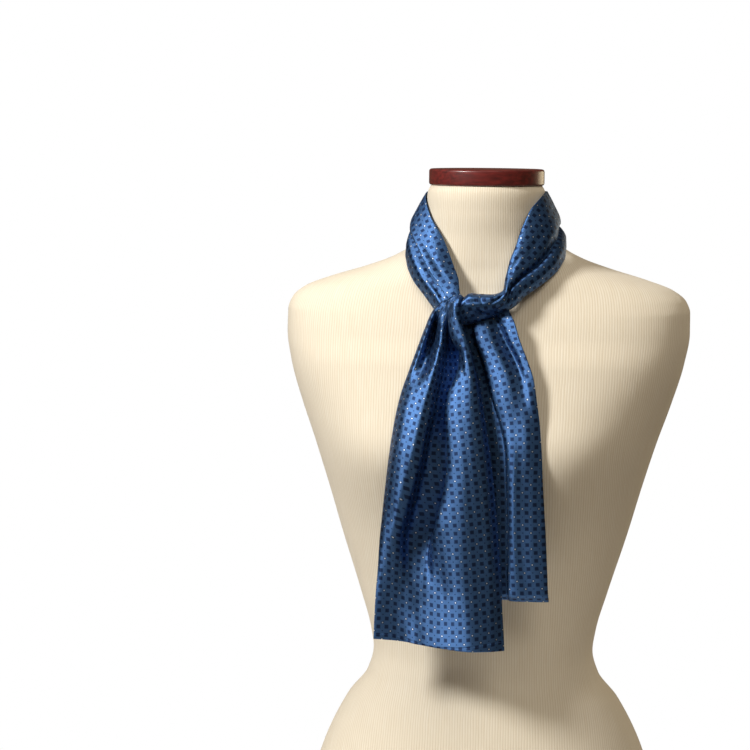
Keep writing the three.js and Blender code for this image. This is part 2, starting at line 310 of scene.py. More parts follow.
# Point of the form's skin at a turn from straight ahead, with some millimetres of lift: the radius is
# (|sin / half width|^n + |cos / depth|^n)^(-1/n), and two bells stand forward at the bust.
def onForm(turn, z, lift):
    turn, z, lift = np.broadcast_arrays(turn, z, lift)
    ring = {name: smoothCurve(formRings["z"], formRings[name], z) for name in list(formRings)[1:]}
    sine, cosine = np.sin(turn), np.cos(turn)
    depth = np.where(cosine > 0, ring["front"], ring["back"])
    wide = np.abs(sine / ring["halfWidth"]) ** ring["square"]
    deep = np.abs(cosine / depth) ** ring["square"]
    radius = (wide + deep) ** (-1 / ring["square"]) + lift
    x = radius * sine
    sides = bell(x, form["bustSide"], form["bustWidth"]) + bell(x, -form["bustSide"], form["bustWidth"])
    tall = bell(z, form["bustHeight"], form["bustTall"])
    bust = form["bustReach"] * sides * tall * np.sqrt(np.maximum(cosine, 0))
    return np.stack([x, ring["lean"] - radius * cosine - bust, z], -1)


# Ribbed knit on the flat map: the ribs are a sine wave across, which drifts a little from side to side,
# over a ground with long faint streaks. The grooves between the ribs get painted shade in their colour.
def jerseyMaterial(look):
    material, tree = newMaterial("cream jersey")
    place = flatPlace(tree)
    slow = noise(tree, vectorMaths(tree, "MULTIPLY", place, look["driftScale"]))
    drift = ranged(tree, slow, *noiseSpan, -look["drift"], look["drift"])
    across = maths(tree, "ADD", axesOf(tree, place)["X"], drift)
    wave = maths(tree, "SINE", maths(tree, "MULTIPLY", across, 2 * math.pi / look["ribPitch"]))
    rib = ranged(tree, wave, -1.0, 1.0, kind="SMOOTHSTEP")
    streaks = noise(tree, vectorMaths(tree, "MULTIPLY", place, look["streakScale"]), detail=3.0, rough=0.6)
    streak = ranged(tree, streaks, *noiseSpan)
    fuzz = noise(tree, place, look["fuzzScale"], detail=3.0, rough=0.7)
    light = mixed(tree, streak, screenColour(*look["pale"]), screenColour(*look["warm"]))
    # painted shade: the colour is mixed towards the darker groove colour, up to grooveShade, in the grooves
    # between the ribs
    shade = ranged(tree, rib, 0.0, look["grooveWidth"], look["grooveShade"], 0.0)
    colour = mixed(tree, shade, light, screenColour(*look["grooveShadeColour"]))
    finishMaterial(
        tree,
        {"Base Color": colour, "Roughness": look["roughness"], "Specular IOR Level": look["specular"],
         "Sheen Weight": look["sheen"], "Sheen Roughness": look["sheenRoughness"]},
        [(rib, *look["ribBump"]), (fuzz, *look["fuzzBump"])])
    return material


jersey = jerseyMaterial(dict(
    ribPitch=2.35, drift=0.5,
    driftScale=(0.035, 0.02, 1),           # noise steps for each millimetre across and up
    streakScale=(0.9, 0.03, 1),
    fuzzScale=2.2,
    # painted shade in the grooves: grooveShade is how far their colour goes towards the darker groove
    # colour, grooveWidth how far up the rib it reaches
    grooveShade=0.38, grooveWidth=0.55,
    ribBump=(0.13, 0.7), fuzzBump=(0.15, 0.5),     # depth and strength
    roughness=0.9, specular=0.2, sheen=0.15, sheenRoughness=0.5,
    pale=(232, 224, 209), warm=(226, 215, 196), grooveShadeColour=(195, 178, 150),
))


# Cover of the form: onForm at each row's height and each turn. Its flat map is the way round from the
# front, opened a little with the girth, by the way up the front.
def makeForm():
    heights = formRings["z"]
    z = np.interp(np.linspace(0, 1, form["rows"]), [0, form["rowsBelow"], 1],
                  [heights[0], form["closeFrom"], heights[-1]])
    turn = np.linspace(-math.pi, math.pi, form["turns"] + 1)
    rings = onForm(turn[None, :], z[:, None], 0.0)
    length = runningLength(rings, 1)
    middle = form["turns"] // 2
    around = length - length[:, middle:middle + 1]
    spread = (form["neckGirth"] / length[:, -1:]) ** form["ribSpread"]
    up = runningLength(rings[:, middle:middle + 1], 0) + 0 * around
    flat = np.stack([around * spread, up], -1)
    piece = ringPiece("form_cover", rings, flat, jersey)
    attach(piece, "root")
    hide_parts("form_body")


makeForm()
print("dress form made")


# Neck cap

cap = dict(
    top=722, tall=16, radius=57, round=2.5,
    lean=-21,                              # how far forward its middle stands
    turns=160, arcSteps=8,
    hub=4, faceRings=11,                   # rings of its flat faces, from this radius out
)


# Wood with its grain along x, and small dark pores.
def mahoganyMaterial(look):
    material, tree = newMaterial("lacquered mahogany")
    place = addNode(tree, "ShaderNodeTexCoord").outputs["Object"]
    stretched = vectorMaths(tree, "MULTIPLY", place, look["grainScale"])
    grain = noise(tree, stretched, detail=6.0, rough=0.6)
    pores = noise(tree, stretched, look["poreScale"], detail=3.0, rough=0.6)
    redder = ranged(tree, grain, *noiseMiddle)
    base = mixed(tree, redder, screenColour(*look["dark"]), screenColour(*look["red"]))
    dark = ranged(tree, pores, *look["poreSpan"], 0.0, look["poreShade"])
    colour = mixed(tree, dark, base, screenColour(*look["pore"]))
    finishMaterial(
        tree,
        {"Base Color": colour, "Roughness": look["roughness"],
         "Coat Weight": look["coat"], "Coat Roughness": look["coatRoughness"]},
        [(grain, *look["grainBump"])])
    return material


mahogany = mahoganyMaterial(dict(
    grainScale=(30, 220, 300),             # noise steps for each metre
    poreScale=6.0, poreSpan=(0.58, 0.7), poreShade=0.6,
    grainBump=(0.1, 0.3),
    roughness=0.4, coat=0.35, coatRoughness=0.2,
    red=(112, 36, 34), dark=(74, 24, 24), pore=(38, 12, 12),
))


# Turned disc: straight sides, and a quarter arc of the rounding at each rim.
def makeCap():
    arc = np.linspace(0, math.pi / 2, cap["arcSteps"])
    inner, low = cap["radius"] - cap["round"], cap["top"] - cap["tall"]
    face = np.linspace(cap["hub"], inner, cap["faceRings"], endpoint=False)
    rim = inner + cap["round"] * np.sin(arc)
    rise = cap["round"] * (1 - np.cos(arc))
    radius = np.concatenate([face, rim, rim[::-1], face[::-1]])[:, None]
    z = np.concatenate([0 * face + low, low + rise, cap["top"] - rise[::-1], 0 * face + cap["top"]])
    turn = np.linspace(0, 2 * math.pi, cap["turns"] + 1)
    x, y = radius * np.sin(turn), cap["lean"] - radius * np.cos(turn)
    rings = np.stack([x, y, z[:, None] + 0 * turn], -1)
    piece = ringPiece("neck_disc", rings, rings[..., :2], mahogany)
    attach(piece, "root")
    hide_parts("neck_cap")


makeCap()
print("neck cap made")


# Satin

satin = dict(
    thickness=0.9,
    pitch=7.85,                            # the print's grid
    square=3.7, dot=1.3, ring=2.6, speck=1.3,
    corner=0.06, squareEdge=0.045,         # roundness and softness, as shares of the pitch
    discEdge=0.03,
    core=(0.2, 0.08),                      # from navy to plum towards a square's middle
    ink=0.9,                               # how strong rings and specks are printed
    stray=0.03, strayScale=0.5,            # how far the grid wanders, as a share of the pitch
    ground=(71, 107, 158), deep=(62, 96, 145), navy=(32, 53, 90), plum=(32, 49, 84),
    white=(205, 220, 240), ringShade=(26, 40, 76),
    thread=0.55, threadLean=0.6,
    threadBump=(0.05, 0.35),               # each bump: depth and strength
    slubScale=(2.2, 0.35, 1), slubBump=(0.1, 0.4),
    hem=4.5, seamWidth=(0.9, 0.2), seamBump=(-0.6, 0.8),
    stitch=2.6, stitchEdge=(-0.4, 0.4), stitchHold=0.35,
    metallic=0.85, specular=0.35,
    roughness=(0.41, 0.53),
    stretch=0.75, turn=0.25,               # a quarter turn draws the sheen out along the cloth
)


# Foulard print on the flat map: a square in each cell, and at its corners a white dot in a dark ring
# and a small dark dot by turns, as on a chessboard. Fine twill threads, uneven yarn and the stitched
# hem are bumps.
def satinMaterial(look):
    material, tree = newMaterial("printed satin")
    place = flatPlace(tree)
    wander = noise(tree, place, look["strayScale"], detail=1.0, output="Color")
    stray = vectorMaths(tree, "MULTIPLY", wander, (look["stray"], look["stray"], 0))
    cell = vectorMaths(tree, "ADD", vectorMaths(tree, "MULTIPLY", place, (1 / look["pitch"],) * 3), stray)
    middle = (0.5, 0.5, 0)

    def fromMiddle(vector):
        return axesOf(tree, vectorMaths(tree, "SUBTRACT", vectorMaths(tree, "FRACTION", vector), middle))

    inCell = fromMiddle(cell)
    wide, tall = maths(tree, "ABSOLUTE", inCell["X"]), maths(tree, "ABSOLUTE", inCell["Y"])
    reach = maths(tree, "SMOOTH_MAX", wide, tall, look["corner"])
    half = look["square"] / 2 / look["pitch"]
    square = ranged(tree, reach, half + look["squareEdge"], half - look["squareEdge"], kind="SMOOTHSTEP")
    core = ranged(tree, reach, *look["core"], kind="SMOOTHSTEP")
    corner = vectorMaths(tree, "ADD", cell, middle)
    atCorner = fromMiddle(corner)
    away = maths(tree, "SQRT", maths(tree, "ADD", maths(tree, "MULTIPLY", atCorner["X"], atCorner["X"]),
                                     maths(tree, "MULTIPLY", atCorner["Y"], atCorner["Y"])))
    cornerCount = axesOf(tree, vectorMaths(tree, "FLOOR", corner))
    odd = maths(tree, "PINGPONG", maths(tree, "ADD", cornerCount["X"], cornerCount["Y"]), 1.0)

    def disc(diameter):
        radius = diameter / 2 / look["pitch"]
        return ranged(tree, away, radius + look["discEdge"], radius - look["discEdge"], kind="SMOOTHSTEP")

    even = maths(tree, "SUBTRACT", 1.0, odd)
    ring = maths(tree, "MULTIPLY", disc(look["ring"]), odd)
    dot = maths(tree, "MULTIPLY", disc(look["dot"]), odd)
    speck = maths(tree, "MULTIPLY", disc(look["speck"]), even)
    slub = noise(tree, vectorMaths(tree, "MULTIPLY", place, look["slubScale"]), detail=3.0, rough=0.6)
    lighter = ranged(tree, slub, *noiseMiddle)
    colour = mixed(tree, lighter, screenColour(*look["deep"]), screenColour(*look["ground"]))
    navy = mixed(tree, core, screenColour(*look["navy"]), screenColour(*look["plum"]))
    colour = mixed(tree, square, colour, navy)
    speckInk, ringInk = (maths(tree, "MULTIPLY", mark, look["ink"]) for mark in (speck, ring))
    colour = mixed(tree, speckInk, colour, screenColour(*look["navy"]))
    colour = mixed(tree, ringInk, colour, screenColour(*look["ringShade"]))
    colour = mixed(tree, dot, colour, screenColour(*look["white"]))

    onMap = axesOf(tree, place)
    twill = maths(tree, "ADD", onMap["X"], maths(tree, "MULTIPLY", onMap["Y"], look["threadLean"]))
    weave = maths(tree, "SINE", maths(tree, "MULTIPLY", twill, 2 * math.pi / look["thread"]))
    fromHem = maths(tree, "ABSOLUTE", maths(tree, "SUBTRACT", onMap["Y"], look["hem"]))
    seam = ranged(tree, fromHem, *look["seamWidth"], kind="SMOOTHSTEP")
    beads = maths(tree, "SINE", maths(tree, "MULTIPLY", onMap["X"], 2 * math.pi / look["stitch"]))
    hold = ranged(tree, beads, *look["stitchEdge"], 1.0, look["stitchHold"])
    stitched = maths(tree, "MULTIPLY", seam, hold)
    across = addNode(tree, "ShaderNodeTangent", direction_type="UV_MAP", uv_map="surface").outputs[0]
    finishMaterial(
        tree,
        {"Base Color": colour, "Metallic": look["metallic"],
         "Roughness": ranged(tree, slub, *noiseSpan, *look["roughness"]),
         "Specular IOR Level": look["specular"], "Anisotropic": look["stretch"],
         "Anisotropic Rotation": look["turn"], "Tangent": across},
        [(weave, *look["threadBump"]), (slub, *look["slubBump"]), (stitched, *look["seamBump"])])
    return material


satinCloth = satinMaterial(satin)


# Cloth over named lines that run along it: each line has rows of a place along the cloth and two
# numbers, which pointAt turns into a point. Across a row the cloth is one smooth curve through the
# lines' points by their chord lengths, with its own number of steps in each span.
def loft(lines, along, steps, pointAt):
    stations = []
    for rows in lines.values():
        place, first, second = np.array(rows, float).T
        stations.append(pointAt(along, smoothCurve(place, first, along), smoothCurve(place, second, along)))
    stations = np.stack(stations, 1)
    knots = runningLength(stations, 1)
    span = np.repeat(np.arange(len(steps)), steps)
    inSpan = np.concatenate([np.arange(n) / n for n in steps])
    span, inSpan = np.append(span, len(steps) - 1), np.append(inSpan, 1.0)
    q = knots[:, span] * (1 - inSpan) + knots[:, span + 1] * inSpan
    return np.stack([smoothCurve(knots, stations[..., k], q) for k in range(3)], -1)


# Column of the loft where a named line runs.
def lineColumn(lines, steps, name):
    return sum(steps[:list(lines).index(name)])


# Fine folds pressed into the cloth along its normal: each runs straight between two places, is a bell
# across and a half sine, to a power that fills it out, along; a positive depth is a trough and a
# negative one a ridge.
def pressFolds(points, first, second, folds, fullness=0.8):
    amount = np.zeros(points.shape[:2])
    for a0, b0, a1, b1, width, depth in folds:
        run = math.hypot(a1 - a0, b1 - b0)
        along = ((first - a0) * (a1 - a0) + (second - b0) * (b1 - b0)) / run ** 2
        off = ((first - a0) * (b1 - b0) - (second - b0) * (a1 - a0)) / run
        amount -= depth * bell(off, 0, width) * np.sin(math.pi * np.clip(along, 0, 1)) ** fullness
    return points + gridNormals(points) * amount[..., None]


# Flat place of each point from a guide column: the distance along the row is turned by the lean of
# the guide against the row, averaged over some calm rows each way, and the length up the guide is
# counted from the last row.
def flatMap(points, guide, calm=25):
    across = runningLength(points, 1)
    across = across - across[:, guide:guide + 1]
    length = runningLength(points[:, guide:guide + 1], 0)
    up = length[-1:] - length
    climb = -np.gradient(points[:, guide], axis=0)
    row = points[:, -1] - points[:, 0]
    lean = (climb * row).sum(1) / np.linalg.norm(climb, axis=1) / np.linalg.norm(row, axis=1)
    half = min(calm, len(lean) // 2)
    padded = np.pad(lean, half, mode="edge")
    lean = np.convolve(padded, np.ones(2 * half + 1) / (2 * half + 1), "valid")[:, None]
    return np.stack([across * np.sqrt(1 - lean ** 2), up + across * lean], -1)


# Front tail

frontTail = dict(
    rows=330, steps=[8, 10, 12, 8, 8, 12, 10, 14, 14, 14],
    top=602, curl=2.5, start=-7, end=340,
    hemLift=7, liftFrom=5, liftTo=100, liftPower=3,     # the left corner hangs higher
    blend=("hollow", "ridge"),             # the print's left and right halves meet between these lines
    flat=(0.135, 0.345),                   # metres, as cut
    # each line: drop from the top, place across, reach to the front
    lines=dict(
        edge=[(-7, -19, 107), (0, -21, 112), (4, -26, 111), (9, -33, 107), (17, -41.5, 103),
              (37, -50.2, 104.5), (57, -57.3, 107), (82, -65.6, 113), (97, -70.2, 117.5),
              (112, -73.5, 121.5), (132, -76.6, 126.5), (157, -80, 128.5), (187, -83.2, 129.5),
              (217, -86, 130), (241, -88, 131.5), (272, -89.3, 134.5), (302, -90.8, 138),
              (340, -91.5, 143)],
        rim=[(-7, -18.5, 107), (0, -20.5, 112), (4, -25, 112), (9, -31.5, 109), (17, -39, 107),
             (37, -46.7, 109), (57, -53, 111), (82, -61, 118), (97, -65.5, 123), (112, -69, 127.5),
             (132, -72.5, 132.5), (157, -76.5, 135.5), (187, -79.5, 136.5), (217, -83, 135.5),
             (241, -85.5, 135), (272, -86, 136.5), (302, -86.5, 138), (340, -87, 142.5)],
        hollow=[(-7, -18, 107), (0, -20, 112), (4, -24, 112), (9, -30, 109.5), (17, -36, 108),
                (24, -38.5, 103), (30, -40, 96), (37, -42, 93.5), (45, -43.5, 95.5), (57, -46.5, 101.5),
                (70, -50, 111), (82, -53.5, 121), (97, -58, 128.5), (112, -61.5, 133), (132, -65.5, 139),
                (157, -69.5, 142.5), (187, -74, 142.5), (217, -78, 140), (241, -81.5, 138),
                (272, -80, 137), (302, -79, 136.5), (340, -79, 141.5)],
        crest=[(-7, -17.5, 107), (0, -19.5, 112), (4, -23, 112), (9, -27, 112), (17, -29.5, 112),
               (27, -31, 114), (37, -31.5, 116), (47, -32, 118), (57, -34, 120.5), (67, -36, 124),
               (82, -40, 129), (97, -43.5, 134), (112, -47, 138.5), (132, -51, 144.5), (157, -56, 148.5),
               (187, -63, 147.5), (217, -70, 144), (241, -75, 140), (262, -76, 137.5), (302, -70, 135.5),
               (340, -68, 140)],
        brow=[(-7, -17.2, 107), (0, -19.2, 112), (4, -22.5, 113), (9, -26, 113.5), (17, -28, 113.5),
              (27, -28.5, 112.5), (37, -28.8, 113), (47, -29.2, 114.5), (57, -30.5, 117), (67, -32, 120),
              (82, -35, 125), (97, -38, 130.5), (112, -41, 136), (132, -44.5, 141.5),
              (157, -48.5, 145.5), (187, -56, 144.5), (217, -64, 141), (241, -69, 136.5),
              (262, -68, 134.5), (285, -65, 134), (302, -62, 135.5), (340, -61, 140)],
        wall=[(-7, -17, 107), (0, -18.8, 112), (4, -21.5, 113.5), (9, -25, 114.5), (17, -27, 114),
              (27, -27, 111), (37, -27, 107), (47, -27, 106.5), (57, -26.5, 108), (67, -27, 111.5),
              (82, -29.5, 117), (97, -33, 122), (112, -34.5, 126.5), (132, -39, 128.5),
              (157, -42.5, 127.5), (187, -49.5, 125.5), (217, -57, 122.5), (241, -61, 123),
              (262, -59, 127), (285, -55, 133.5), (302, -52, 136), (340, -51, 144.5)],
        tuck=[(-7, -16.5, 107), (0, -18, 112), (4, -20.5, 114.5), (9, -23.5, 115.5), (17, -25, 115.5),
              (27, -26, 113), (33, -25, 109), (40, -20, 103.5), (50, -17, 101.5), (57, -16, 102),
              (67, -16, 105), (82, -17, 110), (97, -23, 114), (112, -24, 116.5), (132, -21.5, 121),
              (157, -18.5, 124), (187, -23, 120), (217, -31, 116), (241, -41, 119.5), (262, -43.5, 126),
              (285, -43, 134), (302, -41, 138), (340, -41, 146.5)],
        lip=[(-7, -16, 107.5), (0, -17.5, 113), (4, -19, 115.5), (9, -21.5, 117.5), (17, -23, 118.5),
             (27, -25, 118.5), (37, -24, 118), (47, -20.5, 118), (57, -14.5, 119), (67, -14, 121),
             (82, -18, 124), (97, -24, 127.5), (112, -25.5, 131), (132, -24, 135.5), (157, -22, 138.5),
             (187, -25, 139), (217, -31.5, 138.5), (241, -35, 135), (262, -34, 135.5), (285, -30, 138.6),
             (302, -29, 142), (340, -28, 150.2)],
        ridge=[(-7, -15, 108), (0, -16.5, 114), (4, -17.5, 117), (9, -18.8, 120), (17, -18.3, 123),
               (27, -15.5, 124), (37, -12, 125), (47, -9, 126.5), (57, -6.5, 128), (67, -4.5, 130),
               (82, -2, 133), (97, -1.5, 137), (112, -1.5, 141), (132, -2, 145), (157, -2, 148),
               (187, -3, 149), (217, -5, 149), (241, -7, 148), (262, -7, 147.5), (285, -4, 148.5),
               (302, -1, 151), (325, 2, 156), (340, 4, 160)],
        fall=[(-7, -14, 108), (0, -14.5, 114), (4, -15, 118), (9, -15.8, 121), (17, -15.8, 122),
              (27, -13.8, 123), (37, -9.8, 124), (57, -3, 126.5), (82, 2.5, 130.5), (97, 4.7, 134),
              (112, 6.8, 138), (132, 9.3, 141.5), (157, 12, 144), (187, 14.5, 144), (217, 16, 143),
              (241, 17.5, 141.5), (272, 19, 141.5), (302, 20.5, 145), (325, 22, 150.5), (340, 23, 154.5)],
        side=[(-7, -13.5, 107.5), (0, -13, 113), (4, -13, 116), (9, -13.4, 118), (17, -13.6, 118),
              (27, -12.4, 118), (37, -9.2, 117.5), (57, -3, 117), (82, 4.4, 119), (97, 8.1, 124),
              (112, 10.8, 129), (132, 14.5, 132.5), (157, 18.7, 135), (187, 22.2, 134.5), (217, 25, 133),
              (241, 27, 131.5), (272, 29.5, 132), (302, 31.4, 135), (340, 35, 146)],
    ),
    # each fold: across and height at both ends, width, depth
    folds=[
        (-22, 470, -48, 300, 6, -0.8),
        (-5, 500, 2, 380, 4.5, 0.7),
        (-74, 450, -80, 330, 5, 0.6),
        (-30, 360, -26, 270, 7, 0.8),
        (5, 420, 14, 290, 6, 0.6),
        (-55, 500, -62, 430, 3.5, 0.6),
        (-62, 330, -50, 262, 8, -0.9),
        (-17, 565, -8, 520, 2.2, 0.6),
    ],
)


# A place of the front tail: it rises over the knot and falls as the root of drop squared and curl
# squared, and lifts towards the left corner by a smooth step across times a power of the drop.
def frontPoint(drop, x, reach):
    look = frontTail
    fallen = np.sqrt(drop ** 2 + look["curl"] ** 2) - look["curl"]
    low = (np.clip(drop, 0, None) / look["end"]) ** look["liftPower"]
    lift = look["hemLift"] * ease(-x, look["liftFrom"], look["liftTo"]) * low
    return np.stack([x, -reach, look["top"] - fallen + lift], -1)


# Loft through the lines, with its folds pressed in. Its flat map follows the left edge on the left and
# the right side on the right, and a smooth step joins the two.
def makeFrontTail():
    look = frontTail
    along = np.linspace(look["start"], look["end"], look["rows"])
    points = loft(look["lines"], along, look["steps"], frontPoint)
    points = pressFolds(points, points[..., 0], points[..., 2], look["folds"])
    column = {name: lineColumn(look["lines"], look["steps"], name) for name in look["lines"]}
    left = flatMap(points, column["edge"])
    right = flatMap(points, column["side"])
    right += left[-1, column["side"]]
    start, end = (column[name] for name in look["blend"])
    share = ease(np.arange(points.shape[1]), start, end)[None, :, None]
    flat = left * (1 - share) + right * share
    piece = clothPiece("front_tail_cloth", points, flat, satin["thickness"], satinCloth)
    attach(piece, "root")
    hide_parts("front_tail")


# Back tail

backTail = dict(
    rows=250, steps=[6, 10, 8, 12, 12, 10, 12, 10, 16],
    top=600, bottom=309,
    hemRoll=9, hemDepth=6,                 # height and depth of its rolled hem
    flat=(0.095, 0.285),
    # each line: height, place across, reach to the front
    lines=dict(
        edge=[(309, 24, 123), (372, 20, 124), (418, 17, 124.5), (455, 13, 123.5), (480, 8, 120.5),
              (503, 3, 116), (520, -1, 110), (547, -12, 104.5), (560, -17, 103), (577, -16, 100),
              (588, -13, 98), (600, -6, 97)],
        bed=[(309, 35, 123), (372, 35, 124.5), (418, 33, 125), (455, 31, 125.2), (480, 25, 122),
             (503, 17, 117), (520, 11, 111), (547, 2, 105), (560, -3, 103.5), (577, -5, 100.5),
             (588, -3, 99), (600, 0, 97)],
        lap=[(309, 38, 130), (372, 37.5, 133), (418, 36, 133.5), (437, 35.6, 133), (455, 34.2, 131),
             (480, 28.5, 125.5), (503, 20, 121), (523, 14.3, 116), (541, 8, 111), (560, 1, 108.5),
             (577, -2, 103), (588, 0, 100), (600, 4, 97.5)],
        crest=[(309, 47, 132), (372, 43, 136), (418, 42, 137), (455, 43, 135), (480, 42, 130.5),
               (503, 37, 126.5), (523, 33, 122.5), (541, 25, 117), (560, 15, 110.5), (577, 10, 104.5),
               (588, 8, 101), (600, 10, 98)],
        crease=[(309, 58, 131), (372, 56, 135), (418, 54, 136), (455, 53, 135.5), (480, 52, 131.5),
                (503, 49, 126), (523, 45.5, 119), (541, 38, 111), (560, 27, 105), (577, 18.5, 101),
                (588, 14.5, 98), (600, 14, 97)],
        strip=[(309, 67, 131), (372, 64, 134.5), (418, 62, 135.5), (455, 60, 134.5), (480, 59, 130.5),
               (503, 56, 127), (523, 52, 121.5), (541, 45, 116), (560, 34.5, 111), (577, 27, 106),
               (588, 22, 102), (600, 20, 98)],
        fold=[(309, 75, 128.5), (372, 72, 131.5), (418, 69, 132), (455, 67, 131), (480, 64.5, 128),
              (503, 61, 125.5), (523, 57.5, 122), (541, 51, 118), (560, 43, 114), (577, 37, 109),
              (588, 31, 100), (600, 28, 97.5)],
        turn=[(309, 73, 124.5), (372, 70, 127.5), (418, 67, 128), (455, 65, 127), (480, 62.5, 123),
              (503, 59, 117.5), (520, 56, 113), (537, 48.5, 109.5), (556, 41.5, 106), (577, 36, 101.5),
              (588, 29, 97.5), (600, 26, 95.5)],
        rear=[(309, 62, 124), (372, 58, 127), (418, 56, 127.5), (455, 54, 126.5), (480, 51, 122.5),
              (503, 47, 116.5), (520, 43, 111.5), (537, 38, 107.5), (556, 31, 103), (577, 27, 98.5),
              (588, 22, 96), (600, 20, 95)],
        hidden=[(309, 48, 124), (372, 45, 126.5), (418, 43, 127), (455, 40, 125.5), (480, 36, 121.5),
                (503, 31, 116), (520, 27, 110.5), (537, 22, 106), (556, 16, 102.5), (577, 14, 98),
                (588, 12, 95.5), (600, 12, 94.5)],
    ),
    # each fold: across and height at both ends, width, depth
    folds=[
        (40, 500, 50, 400, 5, 0.6),
        (62, 480, 66, 380, 4, 0.6),
        (44, 400, 52, 320, 6, 0.6),
        (8, 560, 30, 510, 3, 0.5),
        (58, 400, 60, 320, 5, -0.6),
    ],
)


# A place of the back tail: near the hem the reach falls away as a smooth step, squared.
def backPoint(z, x, reach):
    low = backTail["bottom"]
    rolled = backTail["hemDepth"] * ease(-z, -low - backTail["hemRoll"], -low) ** 2
    return np.stack([x, -(reach - rolled), z], -1)


# Loft through the lines, with its folds pressed in and its flat map along the crest.
def makeBackTail():
    look = backTail
    along = np.linspace(look["top"], look["bottom"], look["rows"])
    points = loft(look["lines"], along, look["steps"], backPoint)
    points = pressFolds(points, points[..., 0], points[..., 2], look["folds"])
    flat = flatMap(points, lineColumn(look["lines"], look["steps"], "crest"))
    piece = clothPiece("back_tail_cloth", points, flat, satin["thickness"], satinCloth)
    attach(piece, "root")
    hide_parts("back_tail")


# Loop round the neck and band of the knot

